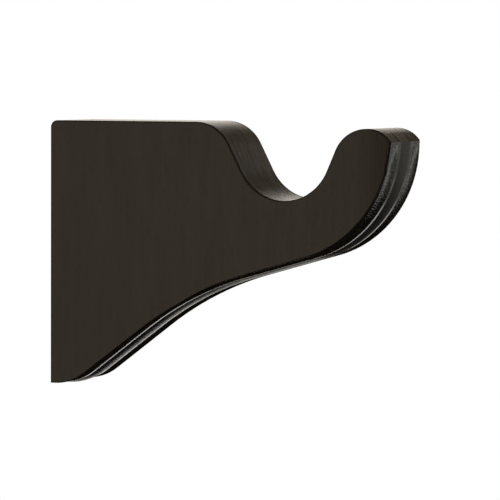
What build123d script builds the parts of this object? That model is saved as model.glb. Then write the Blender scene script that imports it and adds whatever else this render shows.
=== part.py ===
from build123d import *
import os
from math import asin, atan2, cos, degrees, hypot, radians, sin, tan

# Return bracket for a wooden curtain pole: one piece of hardwood, sawn to a
# swan-neck outline, moulded along its front and underside, bored at the back.
# X runs out from the wall, Z is up and Y lies across the stock.
# The origin is the middle of the face that sits on the wall.

# Stock and wall face
stock_thickness = 28.0
wall_height = 94.0
wall_corner_radius = 0.9

# Pole and the cradle that carries it
pole_diameter = 35.0
pole_clearance = 0.25
pole_projection = 90.0
pole_drop = 9.35
cradle_back_slope = 62.7
cradle_front_slope = 66.4
shoulder_radius = 14.4

# Raised tip in front of the pole
tip_radius = 12.6
tip_drop = 1.8
tip_land = 0.4
tip_corner_drop = 6.7

# Nose, waist, leg and foot of the front edge
nose_radius = 41.55
nose_setback = 1.35
nose_rise = 1.9
waist_angle = 15.7
knee_reach = 52.13
sweep_radius = 115.0
foot_reach = 0.4
foot_radius = 20.0

# Moulding along the front edge: a bead, then a fillet, a cove and a chamfered arris on each side
bead_width = 8.6
bead_rise = 0.65
fillet_width = 2.0
cove_depth = 1.5
arris_chamfer = 0.2

# Near arris round the nose, dressed back to a bevel along an arc of its own
dressed_trim = 0.45
dressed_setback = 0.65
dressed_rise = 1.96
dressed_bevel = 55.0

# Eased edges of the two broad faces
ease_radius = 0.3

# Pilot holes for two hanger bolts
hole_diameter = 5.5
hole_depth = 22.0
hole_spacing = 54.0
drill_point_angle = 118.0

# How far cutters run past the wood
overrun = 6.0

top = wall_height / 2
bottom = -wall_height / 2
cradle_radius = pole_diameter / 2 + pole_clearance
pole = Vector(pole_projection, top - pole_drop)
nose = Vector(pole.X - nose_setback, pole.Y + nose_rise)
tip_corner_angle = degrees(asin((top - tip_corner_drop - nose.Y) / nose_radius))


def on_line(point, angle, height):
    """Point at a given height on the line through a point at an angle above +X."""
    return Vector(point.X + (height - point.Y) / tan(radians(angle)), height)


def on_arc(centre, radius, angle):
    """Point of an arc at an angle above +X."""
    return centre + Vector(cos(radians(angle)), sin(radians(angle))) * radius


def cradle_corners():
    """Corners where the two slopes of the cradle meet the top, each other and the top of the tip."""
    back = Vector(-sin(radians(cradle_back_slope)), -cos(radians(cradle_back_slope)))
    front = Vector(sin(radians(cradle_front_slope)), -cos(radians(cradle_front_slope)))
    root = pole + (back + front) * (cradle_radius / (1 + back.dot(front)))
    shoulder = on_line(root, -cradle_back_slope, top)
    tip = on_line(root, cradle_front_slope, top - tip_drop)
    return shoulder, root, tip


def leg_line():
    """Corner of the foot and the angle of the leg, which is tangent to the foot's round."""
    waist = on_arc(nose, nose_radius, waist_angle - 90)
    knee = Vector(knee_reach, waist.Y - (waist.X - knee_reach) * tan(radians(waist_angle)))
    foot_centre = Vector(wall_corner_radius + foot_reach, bottom + foot_radius)
    span = knee - foot_centre
    angle = atan2(span.Y, span.X) + asin(foot_radius / hypot(span.X, span.Y))
    return Vector(foot_centre.X + foot_radius * tan(angle / 2), bottom), angle


def underside_corners(centre, radius, wall_x):
    """Corners of waist, knee and foot, from the end of a nose arc to a given distance from the wall."""
    foot, leg_angle = leg_line()
    waist = on_arc(centre, radius, waist_angle - 90)
    run = foot - waist
    under = radians(waist_angle)
    reach = (run.X * sin(leg_angle) - run.Y * cos(leg_angle)) / sin(leg_angle - under)
    knee = waist + Vector(cos(under), sin(under)) * reach
    return waist, knee, foot, Vector(wall_x, bottom)


def outline():
    """Face of the sawn bracket, seen from the side."""
    shoulder, root, tip = cradle_corners()
    crown = tip + Vector(tip_radius * tan(radians(cradle_front_slope / 2)) + tip_land, 0)
    corner = on_arc(nose, nose_radius, tip_corner_angle)
    underside = underside_corners(nose, nose_radius, 0)
    with BuildSketch(Plane.XZ) as sketch:
        with BuildLine():
            FilletPolyline(
                (0, top),
                shoulder,
                root,
                tip,
                crown,
                radius=[shoulder_radius, cradle_radius, tip_radius],
            )
            TangentArc(crown, corner, tangent=(1, 0))
            RadiusArc(corner, underside[0], nose_radius)
            FilletPolyline(*underside, radius=[sweep_radius, foot_radius])
            Line((0, bottom), (0, top))
        make_face()
        wall_corners = sketch.vertices().group_by(Axis.X)[0]
        fillet(wall_corners, radius=wall_corner_radius)
    return sketch.sketch


def edge_path(centre, radius):
    """Line along the front edge with a given nose arc, from above the tip to behind the wall."""
    lead_in = degrees(overrun / radius)
    underside = underside_corners(centre, radius, -overrun)
    with BuildLine() as path:
        RadiusArc(on_arc(centre, radius, tip_corner_angle + lead_in), underside[0], radius)
        FilletPolyline(*underside, radius=[sweep_radius, foot_radius])
    return Plane.XZ * path.wire()


def across(path):
    """Plane square to the start of a path, with X across the stock and Y out of the wood."""
    return Plane(origin=path @ 0, x_dir=(0, 1, 0), z_dir=path % 0)


def moulding_cutter():
    """Waste that the moulding takes off the front edge."""
    path = edge_path(nose, nose_radius)
    face = stock_thickness / 2
    fillet_start = (bead_width / 2, -bead_rise)
    cove_start = (bead_width / 2 + fillet_width, -bead_rise)
    arris = (face - arris_chamfer, -bead_rise)
    cove_root = ((cove_start[0] + arris[0]) / 2, -bead_rise - cove_depth)
    past_face = (face + overrun, -bead_rise - arris_chamfer - overrun)
    with BuildSketch(across(path)) as section:
        with BuildLine():
            TangentArc((0, 0), fillet_start, tangent=(1, 0))
            Line(fillet_start, cove_start)
            ThreePointArc(cove_start, cove_root, arris)
            Polyline(arris, past_face, (past_face[0], overrun), (0, overrun))
            mirror(about=Plane.YZ)
        make_face()
    return sweep(section.sketch, path=path)


def dressing_cutter():
    """Waste of the bevel on the near arris: it runs out at the tip and at the leg."""
    path = edge_path(nose + Vector(-dressed_setback, dressed_rise), nose_radius - dressed_trim)
    near = -stock_thickness / 2
    slope = tan(radians(dressed_bevel))
    outside = near - overrun / slope
    inside = near + overrun / slope
    with BuildSketch(across(path)) as section:
        with BuildLine():
            Polyline((outside, -overrun), (inside, overrun), (outside, overrun), close=True)
        make_face()
    return sweep(section.sketch, path=path)


def pilot_hole(height):
    """Blind hole bored from the wall face, with the cone that the drill leaves."""
    radius = hole_diameter / 2
    point = radius / tan(radians(drill_point_angle / 2))
    with BuildSketch(Plane.XZ) as half_section:
        with BuildLine():
            Polyline(
                (-overrun, height),
                (-overrun, height + radius),
                (hole_depth, height + radius),
                (hole_depth + point, height),
                close=True,
            )
        make_face()
    return revolve(half_section.sketch, axis=Axis((0, 0, height), (1, 0, 0)))


def bracket_body():
    """The finished piece: sawn outline, eased edges, moulded front, dressed arris, bored back."""
    blank = extrude(outline(), amount=stock_thickness / 2, both=True)
    broad_faces = blank.faces().filter_by(Axis.Y)
    eased = fillet(broad_faces.edges(), radius=ease_radius)
    bracket = eased - moulding_cutter() - dressing_cutter()
    for height in (-hole_spacing / 2, hole_spacing / 2):
        bracket -= pilot_hole(height)
    return bracket.solid()


os.makedirs("parts", exist_ok=True)
body = bracket_body()
export_step(body, "parts/bracket_body.step")
print("bracket_body", round(body.volume), "mm3", body.bounding_box().size)
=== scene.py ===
import bpy
from math import atan2, cos, degrees, hypot, radians, sin
from mathutils import Matrix, Vector
from numpy import interp


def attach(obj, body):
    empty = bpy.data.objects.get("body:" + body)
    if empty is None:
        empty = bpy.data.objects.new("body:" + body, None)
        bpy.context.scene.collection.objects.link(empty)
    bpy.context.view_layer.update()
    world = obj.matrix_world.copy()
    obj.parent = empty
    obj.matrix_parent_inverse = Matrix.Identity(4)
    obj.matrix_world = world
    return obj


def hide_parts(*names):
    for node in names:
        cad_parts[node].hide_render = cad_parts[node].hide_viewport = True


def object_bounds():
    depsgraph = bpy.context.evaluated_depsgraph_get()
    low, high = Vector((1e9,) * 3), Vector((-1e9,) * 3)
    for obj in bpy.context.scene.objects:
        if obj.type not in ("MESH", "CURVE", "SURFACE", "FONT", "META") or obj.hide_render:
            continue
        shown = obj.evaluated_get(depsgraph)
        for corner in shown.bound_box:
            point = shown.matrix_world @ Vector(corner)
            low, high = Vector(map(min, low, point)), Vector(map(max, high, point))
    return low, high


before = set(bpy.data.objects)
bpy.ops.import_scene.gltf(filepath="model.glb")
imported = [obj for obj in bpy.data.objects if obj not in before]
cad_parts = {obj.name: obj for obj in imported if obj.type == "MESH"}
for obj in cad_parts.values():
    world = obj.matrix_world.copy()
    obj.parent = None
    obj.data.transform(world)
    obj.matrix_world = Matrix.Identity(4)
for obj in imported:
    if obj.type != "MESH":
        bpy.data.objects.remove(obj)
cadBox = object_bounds()
scene = bpy.context.scene
scene.view_settings.view_transform = "Standard"
millimetre = 0.001
print("frame loaded:", sorted(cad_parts))


# sRGB hex, as a colour picker shows it, to the linear values that shaders take
def hexToLinear(hexColour, alpha=1.0):
    channels = [int(hexColour[i:i + 2], 16) / 255 for i in (1, 3, 5)]
    linear = [c / 12.92 if c <= 0.04045 else ((c + 0.055) / 1.055) ** 2.4 for c in channels]
    return (*linear, alpha)


# one node with its settings and links: an input is a value or another node's socket,
# given by name, or by number where a node has several inputs of one name
def addNode(tree, kind, settings=None, inputs=None):
    node = tree.nodes.new(kind)
    for name, value in (settings or {}).items():
        setattr(node, name, value)
    for name, value in (inputs or {}).items():
        if isinstance(value, bpy.types.NodeSocket):
            tree.links.new(value, node.inputs[name])
        else:
            node.inputs[name].default_value = value
    return node


# camera, fitted to the outlines of both broad faces
cameraSetup = {
    "azimuth": 24.0,           # degrees to the right of straight on
    "elevation": 2.81,
    "roll": 0.18,
    "distance": 1.430,         # metres from eye to target
    "viewWidth": 0.1755,       # metres across the picture at the target
    "target": (0.0715, -0.0005, 0.00195),
    "sightEnd": 20.0,          # metres
}


def makeCamera():
    azimuth = radians(cameraSetup["azimuth"])
    elevation = radians(cameraSetup["elevation"])
    roll = radians(cameraSetup["roll"])
    forward = Vector((-sin(azimuth) * cos(elevation), cos(azimuth) * cos(elevation), -sin(elevation)))
    right = Vector((cos(azimuth), sin(azimuth), 0))
    up = right.cross(forward)
    tiltedRight = cos(roll) * right + sin(roll) * up
    tiltedUp = cos(roll) * up - sin(roll) * right
    data = bpy.data.cameras.new("photoCamera")
    data.lens = data.sensor_width * cameraSetup["distance"] / cameraSetup["viewWidth"]
    data.clip_end = cameraSetup["sightEnd"]
    camera = bpy.data.objects.new("photoCamera", data)
    turn = Matrix((tiltedRight, tiltedUp, -forward)).transposed().to_4x4()
    eye = Vector(cameraSetup["target"]) - forward * cameraSetup["distance"]
    camera.matrix_world = Matrix.Translation(eye) @ turn
    scene.collection.objects.link(camera)
    scene.camera = camera


makeCamera()
print("camera set")

# the bracket's finish and its painted shade, sizes in millimetres; the grain runs up and down
woodLook = {
    # how deep the staining went in and where it stayed thin; in the coves this is partly painted shade and
    # painted glints
    "stainsAndShade": {
        "longGrain": ("#1f190f", "#272014"),
        "sawn": ("#1e1810", "#4b4131"),
        # partly painted: the coves' knife-mark mottle, drawn darker as painted shade and lighter as
        # painted glints
        "cove": ("#0a0704", "#3c3426"),
    },
    # painted shade: the bead round the nose and down the leg, drawn near-black
    "beadPaintedShade": "#0a0805",
    # painted shade: the dark lines along the arrises and in the notches on the tip's top
    "edgePaintedShade": "#140c06",
    "poreTint": "#b3adaa",             # multiplies the stain in the pores
    # each pattern's size along X, Y and Z
    "patterns": {
        "figure": (7.0, 7.0, 45.0),    # broad, faint bands of colour
        "streak": (0.9, 0.9, 22.0),    # fibre lines; real ones are a third as wide, too fine to show
        "sawn": (14.0, 0.50, 14.0),    # saw lines along the curves of the top, coarse enough to show
        "pore": (0.5, 0.5, 3.5),       # open vessels, at twice their real width to show
        "chatter": (0.65, 3.0, 0.65),  # knife marks of the moulding, square to its run
    },
    "patternDetail": 2.0,
    "streakShare": 0.35,               # of the uneven stain, the rest is figure
    # how much of a pattern counts as nothing and as all
    "contrast": {
        "longGrain": (0.35, 0.65),
        "sawn": (0.42, 0.60),
        "cove": (0.42, 0.62),
        "pore": (0.60, 0.72),
        "lacquer": (0.30, 0.70),
    },
    # where each part of the surface begins and where it is full, measured out from the wall, from the
    # middle plane or from a notch, or by how squarely the surface faces out, sideways or up
    "places": {
        "endGrain": ("facingUp", 0.40, 0.95, "SMOOTHSTEP"),
        "sawn": ("facingUp", 0.30, 0.42, "SMOOTHSTEP"),
        "notTop": ("facingUp", 0.35, 0.20, "SMOOTHSTEP"),
        "notWall": ("facingOut", -0.60, -0.30, "SMOOTHSTEP"),
        "broad": ("facingSide", 0.90, 0.99, "SMOOTHSTEP"),
        "notBroad": ("facingSide", 0.99, 0.90, "SMOOTHSTEP"),
        "bead": ("offMiddle", 4.6, 4.0, "LINEAR"),
        "cove": ("offMiddle", 6.0, 6.6, "LINEAR"),
        "besideFace": ("offMiddle", 12.7, 13.2, "SMOOTHSTEP"),
        "atNose": ("fromWall", 98.0, 114.0, "LINEAR"),
        "belowTip": ("fromWall", 130.0, 121.0, "LINEAR"),
        "pastNeck": ("fromWall", 116.0, 130.0, "LINEAR"),
        "nearLip": ("fromWall", 126.6, 128.0, "LINEAR"),
        "inNotch": ("fromNotch", 0.75, 0.225, "SMOOTHSTEP"),
    },
    "notchAt": 5.5,                    # off the middle, where the fillets' knife ran on over the tip's top
    "lacquer": (0.14, 0.20),           # roughness, clear and along the fibre lines
    "endGrainRoughness": 0.22,
    "beadRoughness": (0.38, 0.92, 0.68),  # on the leg, round the nose, where it is rubbed dull, at the tip
    "arrisRoughness": 0.7,
    "lacquerIor": 1.5,
    # heights of the relief
    "relief": {
        "rollOff": 0.26,               # how far the broad faces are sanded back at the tip
        "streak": 0.022,               # fibres at the tip, where the sanding opened the grain
        "sawn": 0.17,
        "chatter": 0.22,
        "pore": 0.004,
    },
    "rollOffCurve": 2.0,
    "streakFilled": 0.18,              # share of the fibre relief elsewhere, under the lacquer
    "sanded": 0.50,                    # how far sanding softened the arrises onto the broad faces
    "sandedTurn": 2.5,                 # drawn stronger than it is, or it would be too fine to show
    "sandedSamples": 8,
}


# Hardwood, sawn, moulded and sanded, stained dark under sprayed satin lacquer, with shade painted on the
# bead below the tip, the arrises, the notches and the coves. To the eye: near-black brown, mirror-like
# along the moulding and at grazing angles, fibre lines only where a reflection breaks, and duller, lighter
# end grain on top.
def stainedHardwood():
    material = bpy.data.materials.new("stainedHardwoodSatinLacquer")
    material.use_nodes = True
    tree = material.node_tree
    shader = tree.nodes["Principled BSDF"]
    shader.inputs["IOR"].default_value = woodLook["lacquerIor"]
    place = addNode(tree, "ShaderNodeTexCoord")
    spot = addNode(tree, "ShaderNodeSeparateXYZ", None, {"Vector": place.outputs["Object"]})
    facing = addNode(tree, "ShaderNodeSeparateXYZ", None, {"Vector": place.outputs["Normal"]})

    pattern = {}
    for name, size in woodLook["patterns"].items():
        mapping = addNode(tree, "ShaderNodeMapping", None, {
            "Vector": place.outputs["Object"], "Scale": [1 / (s * millimetre) for s in size]})
        texture = addNode(tree, "ShaderNodeTexNoise", None, {
            "Vector": mapping.outputs["Vector"], "Scale": 1.0, "Detail": woodLook["patternDetail"]})
        pattern[name] = texture.outputs["Fac"]

    # what the masks are measured by
    offMiddle = addNode(tree, "ShaderNodeMath", {"operation": "ABSOLUTE"}, {0: spot.outputs["Y"]})
    sideways = addNode(tree, "ShaderNodeMath", {"operation": "ABSOLUTE"}, {0: facing.outputs["Y"]})
    pastNotch = addNode(tree, "ShaderNodeMath", {"operation": "SUBTRACT"}, {
        0: offMiddle.outputs["Value"], 1: woodLook["notchAt"] * millimetre})
    offNotch = addNode(tree, "ShaderNodeMath", {"operation": "ABSOLUTE"}, {0: pastNotch.outputs["Value"]})
    measures = {
        "fromWall": spot.outputs["X"],
        "offMiddle": offMiddle.outputs["Value"],
        "fromNotch": offNotch.outputs["Value"],
        "facingOut": facing.outputs["X"],
        "facingSide": sideways.outputs["Value"],
        "facingUp": facing.outputs["Z"],
    }
    mask = {}
    for name, (measure, begins, full, fade) in woodLook["places"].items():
        unit = 1 if measure.startswith("facing") else millimetre
        mask[name] = addNode(tree, "ShaderNodeMapRange", {"interpolation_type": fade}, {
            "Value": measures[measure],
            "From Min": begins * unit, "From Max": full * unit}).outputs["Result"]

    # the moulding faces out or down, arrises lie beside the broad faces, notches on the tip's top
    for name, one, other in (
        ("moulded", "notTop", "notWall"),
        ("arris", "besideFace", "notBroad"),
        ("onEdge", "notBroad", "moulded"),
        ("knifed", "cove", "onEdge"),
        ("rubbed", "bead", "moulded"),
        # the bead below the tip, where shade is painted
        ("shadedBeadBelowTip", "rubbed", "belowTip"),
        ("onLip", "nearLip", "sawn"),
        ("notch", "inNotch", "onLip"),
    ):
        mask[name] = addNode(tree, "ShaderNodeMath", {"operation": "MULTIPLY"}, {
            0: mask[one], 1: mask[other]}).outputs["Value"]
    poreFrom, poreTo = woodLook["contrast"]["pore"]
    pores = addNode(tree, "ShaderNodeMapRange", {"interpolation_type": "SMOOTHSTEP"}, {
        "Value": pattern["pore"], "From Min": poreFrom, "From Max": poreTo}).outputs["Result"]

    # staining that took unevenly along the fibres, the saw lines and the knife marks; in the coves the
    # knife marks also carry painted shade and painted glints
    uneven = addNode(tree, "ShaderNodeMix", {"data_type": "FLOAT"}, {
        "Factor": woodLook["streakShare"], 2: pattern["figure"], 3: pattern["streak"]})
    stainAndShade = {}
    for name, amount in (
        ("longGrain", uneven.outputs[0]),
        ("sawn", pattern["sawn"]),
        ("cove", pattern["chatter"]),
    ):
        deep, thin = woodLook["stainsAndShade"][name]
        lowest, highest = woodLook["contrast"][name]
        taken = addNode(tree, "ShaderNodeMapRange", None, {
            "Value": amount, "From Min": lowest, "From Max": highest})
        stainAndShade[name] = addNode(tree, "ShaderNodeMix", {"data_type": "RGBA"}, {
            "Factor": taken.outputs["Result"], 6: hexToLinear(deep), 7: hexToLinear(thin)}).outputs[2]

    # the stainings one over the other, then the painted shade on the bead below the tip, the arrises and
    # the notches, pores last
    colour = stainAndShade["longGrain"]
    for where, over in (
        ("sawn", stainAndShade["sawn"]),
        ("knifed", stainAndShade["cove"]),
        ("shadedBeadBelowTip", hexToLinear(woodLook["beadPaintedShade"])),
        ("arris", hexToLinear(woodLook["edgePaintedShade"])),
        ("notch", hexToLinear(woodLook["edgePaintedShade"])),
    ):
        colour = addNode(tree, "ShaderNodeMix", {"data_type": "RGBA"}, {
            "Factor": mask[where], 6: colour, 7: over}).outputs[2]
    pored = addNode(tree, "ShaderNodeMix", {"data_type": "RGBA", "blend_type": "MULTIPLY"}, {
        "Factor": pores, 6: colour, 7: hexToLinear(woodLook["poreTint"])})
    tree.links.new(pored.outputs[2], shader.inputs["Base Color"])

    # lacquer: even on the long grain, soaked in on the end grain, rubbed off the bead and the arrises
    clear, fibrous = woodLook["lacquer"]
    lowest, highest = woodLook["contrast"]["lacquer"]
    lacquer = addNode(tree, "ShaderNodeMapRange", None, {
        "Value": pattern["streak"], "From Min": lowest, "From Max": highest,
        "To Min": clear, "To Max": fibrous})
    legBead, noseBead, tipBead = woodLook["beadRoughness"]
    beadBelow = addNode(tree, "ShaderNodeMix", {"data_type": "FLOAT"}, {
        "Factor": mask["atNose"], 2: legBead, 3: noseBead})
    bead = addNode(tree, "ShaderNodeMix", {"data_type": "FLOAT"}, {
        "Factor": mask["belowTip"], 2: tipBead, 3: beadBelow.outputs[0]})
    worn = addNode(tree, "ShaderNodeMath", {"operation": "MAXIMUM"}, {0: mask["arris"], 1: mask["notch"]})
    roughness = lacquer.outputs["Result"]
    for where, over in (
        (mask["endGrain"], woodLook["endGrainRoughness"]),
        (mask["rubbed"], bead.outputs[0]),
        (worn.outputs["Value"], woodLook["arrisRoughness"]),
    ):
        roughness = addNode(tree, "ShaderNodeMix", {"data_type": "FLOAT"}, {
            "Factor": where, 2: roughness, 3: over}).outputs[0]
    tree.links.new(roughness, shader.inputs["Roughness"])

    # broad faces turn towards their sanded edges
    surface = addNode(tree, "ShaderNodeNewGeometry")
    softened = addNode(tree, "ShaderNodeBevel", {"samples": woodLook["sandedSamples"]}, {
        "Radius": woodLook["sanded"] * millimetre})
    turnedBy = addNode(tree, "ShaderNodeMath", {"operation": "MULTIPLY"}, {
        0: mask["broad"], 1: woodLook["sandedTurn"]})
    form = addNode(tree, "ShaderNodeMix", {"data_type": "VECTOR", "clamp_factor": False}, {
        "Factor": turnedBy.outputs["Value"], 4: surface.outputs["Normal"], 5: softened.outputs["Normal"]})

    # relief: the tip's roll-off, then fibres, saw lines, knife marks and pores
    towardsTip = addNode(tree, "ShaderNodeMath", {"operation": "POWER"}, {
        0: mask["pastNeck"], 1: woodLook["rollOffCurve"]})
    openGrain = addNode(tree, "ShaderNodeMapRange", None, {
        "Value": mask["pastNeck"], "To Min": woodLook["streakFilled"], "To Max": 1.0})
    sawLines = addNode(tree, "ShaderNodeMath", {"operation": "MULTIPLY"}, {
        0: pattern["sawn"], 1: mask["sawn"]})
    knifeMarks = addNode(tree, "ShaderNodeMath", {"operation": "MULTIPLY"}, {
        0: pattern["chatter"], 1: mask["knifed"]})
    normal = form.outputs[1]
    for name, height, strength, sunk in (
        ("rollOff", towardsTip.outputs["Value"], mask["broad"], True),
        ("streak", pattern["streak"], openGrain.outputs["Result"], False),
        ("sawn", sawLines.outputs["Value"], 1.0, False),
        ("chatter", knifeMarks.outputs["Value"], 1.0, False),
        ("pore", pores, 1.0, True),
    ):
        normal = addNode(tree, "ShaderNodeBump", {"invert": sunk}, {
            "Strength": strength, "Distance": woodLook["relief"][name] * millimetre,
            "Height": height, "Normal": normal}).outputs["Normal"]
    tree.links.new(normal, shader.inputs["Normal"])
    return material


# what the bench did to the bracket after sawing and moulding, in millimetres and degrees
benchWork = {
    "sawnCorner": 0.9,                 # radius of the upper wall corner as sawn
    "sandedCorner": 2.4,               # and as sanded
    "hair": 0.001,                     # how near a point counts as on the corner
    "nose": (88.65, 39.55),            # middle of the nose's arc, X and Z
    "edge": 13.5,                      # the arrises lie further than this from the middle plane
    "coveWithin": 39.15,               # least radius of the moulding's points at the tip
    "runOut": (-12.0, 90.0),           # turns along the nose between which the coves run out
    "lip": (41.3, 1.55),               # radius and turn of the lip they end in, under the tip's top
    "lipSlope": 1.77,                  # degrees that the top rises for each millimetre of depth
    "arrisWithin": 39.85,              # least radius of the arrises at the tip
    "arrisTop": 3.0,                   # highest turn of the arrises at the tip
    "nearReach": (0.65, -1.0),         # how far out and down the near one reaches past its own end
    "farReach": (0.10, -0.2),          # the far one hardly does
    "edgeWithin": 38.15,               # least radius of the front edge below the tip
    # near arris below the tip: distance from the wall, slope of the edge, how far it stands prouder
    "nearArris": [
        (1.3, 0.0, 0.0), (13.3, 36.9, 0.35), (20.0, 36.9, 0.55), (34.9, 36.9, 0.55),
        (58.0, 24.0, 0.60), (66.0, 19.5, 0.95), (75.0, 15.7, 1.25), (90.0, 15.7, 1.30),
        (99.9, 15.7, 1.10), (108.0, 27.8, 0.80), (118.0, 45.0, 0.35), (127.0, 67.4, 0.30),
        (129.6, 78.0, 0.0),
    ],
}


# the bracket as it is seen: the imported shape, its corner sanded, its coves run out, its near arris full
def makeBracket():
    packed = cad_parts["bracket_body"]
    mesh = packed.data.copy()
    mesh.name = "bracketWood"
    top = cadBox[1][2] / millimetre
    sawnCorner, sandedCorner = benchWork["sawnCorner"], benchWork["sandedCorner"]
    hair, edge = benchWork["hair"], benchWork["edge"]
    noseX, noseZ = benchWork["nose"]
    start, stop = benchWork["runOut"]
    lipRadius, lipTurn = benchWork["lip"]
    arrisTop = benchWork["arrisTop"]
    distances, slopes, reaches = zip(*benchWork["nearArris"])
    for vertex in mesh.vertices:
        x, y, z = (c / millimetre for c in vertex.co)
        outward = Vector((x - sawnCorner, z - top + sawnCorner))
        radius, turn = hypot(x - noseX, z - noseZ), degrees(atan2(z - noseZ, x - noseX))
        if outward.x < hair and outward.y > -hair:
            outward *= 1 + (sandedCorner - sawnCorner) / outward.length
            x, z = sandedCorner + outward.x, top - sandedCorner + outward.y
        elif start < turn < stop and radius > benchWork["coveWithin"] and abs(y) < edge:
            end = lipTurn + (lipRadius - radius) * benchWork["lipSlope"]
            along = min((turn - start) / (end - start), 1)
            radius += (lipRadius - radius) * along ** 2
            turn = start + (lipTurn - start) * along
            x, z = noseX + radius * cos(radians(turn)), noseZ + radius * sin(radians(turn))
        elif start < turn < arrisTop and radius > benchWork["arrisWithin"]:
            along = (turn - start) / (arrisTop - start)
            reachOut, reachDown = benchWork["nearReach" if y < 0 else "farReach"]
            radius += reachOut * along ** 2
            turn += reachDown * along ** 2
            x, z = noseX + radius * cos(radians(turn)), noseZ + radius * sin(radians(turn))
        elif turn <= start and radius > benchWork["edgeWithin"] and y < -edge and x > distances[0]:
            slope = radians(interp(x, distances, slopes))
            reach = interp(x, distances, reaches)
            x, z = x + reach * sin(slope), z - reach * cos(slope)
        vertex.co = (x * millimetre, y * millimetre, z * millimetre)
    mesh.materials.clear()
    mesh.materials.append(stainedHardwood())
    bracket = bpy.data.objects.new("bracketWood", mesh)
    scene.collection.objects.link(bracket)
    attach(bracket, "root")
    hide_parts("bracket_body")


makeBracket()
print("bracket finished")

# paper floor, well below the bracket, sizes in metres
floorSetup = {
    "size": 12.0,
    "drop": 1.10,
    "colour": "#f4f4f2",
    "roughness": 0.9,
    "glowColour": "#ffffff",
    "glow": 0.90,              # for the camera alone
}


# Matt paper, pale and even, with no gloss: only a soft shadow shows on it.
def makeFloor():
    half = floorSetup["size"] / 2
    mesh = bpy.data.meshes.new("floor")
    corners = [(-half, -half, 0), (half, -half, 0), (half, half, 0), (-half, half, 0)]
    mesh.from_pydata(corners, [], [(0, 1, 2, 3)])
    floor = bpy.data.objects.new("floor", mesh)
    floor.location.z = cadBox[0][2] - floorSetup["drop"]
    floor.visible_glossy = False       # the bracket sees the dark below the panels instead
    floor.visible_diffuse = False
    scene.collection.objects.link(floor)
    material = bpy.data.materials.new("palePaperFloor")
    material.use_nodes = True
    tree = material.node_tree
    shader = tree.nodes["Principled BSDF"]
    shader.inputs["Base Color"].default_value = hexToLinear(floorSetup["colour"])
    shader.inputs["Roughness"].default_value = floorSetup["roughness"]
    shader.inputs["Emission Color"].default_value = hexToLinear(floorSetup["glowColour"])
    # the glow lifts the paper to white and leaves the shadow on it
    rays = addNode(tree, "ShaderNodeLightPath")
    glow = addNode(tree, "ShaderNodeMath", {"operation": "MULTIPLY"}, {
        0: rays.outputs["Is Camera Ray"], 1: floorSetup["glow"]})
    tree.links.new(glow.outputs["Value"], shader.inputs["Emission Strength"])
    mesh.materials.append(material)


makeFloor()
print("floor laid")

# the studio: a dim room with soft panels round the bracket, white to the camera; panels are in
# degrees as seen from the bracket: azimuth from straight behind it to the right, elevation from
# level, softness of the edges in both, then strength and colour
studioLight = {
    "white": "#ffffff",
    "whiteStrength": 1.0,
    "roomStrength": 0.006,
    "panels": {
        "backWall": ((-14, 36), (-7, 24), (8, 5), 0.17, "#fff0dc"),
        "backLow": ((-14, 32), (-13, 7), (8, 5), 0.28, "#fff8f0"),
        "backLeft": ((-75, -15), (-32, 28), (8, 8), 1.25, "#fff6ea"),
        "lowStrip": ((-30, 28), (-24.5, -20.5), (8, 1.6), 1.6, "#ffffff"),
        "lowFade": ((14, 30), (-21, -13), (4, 3), 0.60, "#ffffff"),
        "rightPanel": ((36, 60), (-32, 30), (6, 12), 1.7, "#fdfdf4"),
        "rightWall": ((60, 104), (-34, 25), (6, 10), 0.7, "#fbf8ea"),
        "rightWindow": ((68, 104), (-7, 25), (6, 6), 0.6, "#ffffff"),
        "frontLeft": ((-161, -146), (-40, 16), (4, 8), 0.50, "#fff4e2"),
        "frontSpot": ((-158.5, -154.5), (-40, 16), (3, 8), 0.22, "#fffaec"),
        "overhead": ((-200, 200), (50, 100), (8, 10), 0.06, "#ffffff"),
        "underGlow": ((-200, 200), (-100, -52), (8, 12), 0.035, "#ffd8b8"),
    },
}


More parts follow.
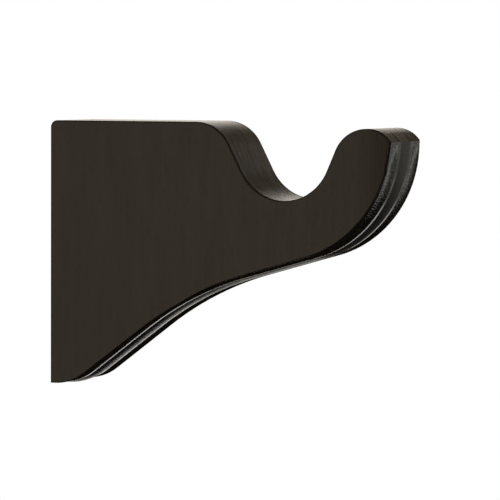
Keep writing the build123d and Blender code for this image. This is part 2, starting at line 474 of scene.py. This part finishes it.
def makeWorld():
    world = bpy.data.worlds.new("studio")
    scene.world = world
    world.use_nodes = True
    tree = world.node_tree
    place = addNode(tree, "ShaderNodeTexCoord")
    direction = addNode(tree, "ShaderNodeSeparateXYZ", None, {"Vector": place.outputs["Generated"]})
    azimuth = addNode(tree, "ShaderNodeMath", {"operation": "ARCTAN2"}, {
        0: direction.outputs["X"], 1: direction.outputs["Y"]})
    elevation = addNode(tree, "ShaderNodeMath", {"operation": "ARCSINE"}, {0: direction.outputs["Z"]})

    white = hexToLinear(studioLight["white"])
    room = addNode(tree, "ShaderNodeBackground", None, {
        "Color": white, "Strength": studioLight["roomStrength"]})
    light = room.outputs["Background"]
    for name, (across, upward, softness, strength, colour) in studioLight["panels"].items():
        level = strength
        for angle, (low, high), soft in zip((azimuth, elevation), (across, upward), softness):
            rise = addNode(tree, "ShaderNodeMapRange", {"interpolation_type": "SMOOTHSTEP"}, {
                "Value": angle.outputs["Value"],
                "From Min": radians(low - soft), "From Max": radians(low + soft)})
            fall = addNode(tree, "ShaderNodeMapRange", {"interpolation_type": "SMOOTHSTEP"}, {
                "Value": angle.outputs["Value"],
                "From Min": radians(high + soft), "From Max": radians(high - soft)})
            inside = addNode(tree, "ShaderNodeMath", {"operation": "MULTIPLY"}, {
                0: rise.outputs["Result"], 1: fall.outputs["Result"]})
            level = addNode(tree, "ShaderNodeMath", {"operation": "MULTIPLY"}, {
                0: inside.outputs["Value"], 1: level}).outputs["Value"]
        panel = addNode(tree, "ShaderNodeBackground", {"label": name}, {
            "Color": hexToLinear(colour), "Strength": level})
        light = addNode(tree, "ShaderNodeAddShader", None, {
            0: light, 1: panel.outputs["Background"]}).outputs["Shader"]

    backdrop = addNode(tree, "ShaderNodeBackground", None, {
        "Color": white, "Strength": studioLight["whiteStrength"]})
    rays = addNode(tree, "ShaderNodeLightPath")
    seen = addNode(tree, "ShaderNodeMixShader", None, {
        "Fac": rays.outputs["Is Camera Ray"], 1: light, 2: backdrop.outputs["Background"]})
    tree.links.new(seen.outputs["Shader"], tree.nodes["World Output"].inputs["Surface"])


makeWorld()
print("studio lit:", len(studioLight["panels"]), "panels")

# key softbox, in front, to the left and above, in metres
keyLamp = {"place": (-0.50, -1.05, 1.15), "aim": (0.06, 0.0, 0.0), "size": 0.8, "watts": 27.0}


def makeKeyLamp():
    data = bpy.data.lights.new("keySoftbox", "AREA")
    data.shape = "SQUARE"
    data.size = keyLamp["size"]
    data.energy = keyLamp["watts"]
    lamp = bpy.data.objects.new("keySoftbox", data)
    place = Vector(keyLamp["place"])
    lamp.location = place
    lamp.visible_glossy = False        # it lights the wood, the panels make the reflections
    lamp.rotation_euler = (Vector(keyLamp["aim"]) - place).to_track_quat("-Z", "Y").to_euler()
    scene.collection.objects.link(lamp)


makeKeyLamp()
print("key lamp set")
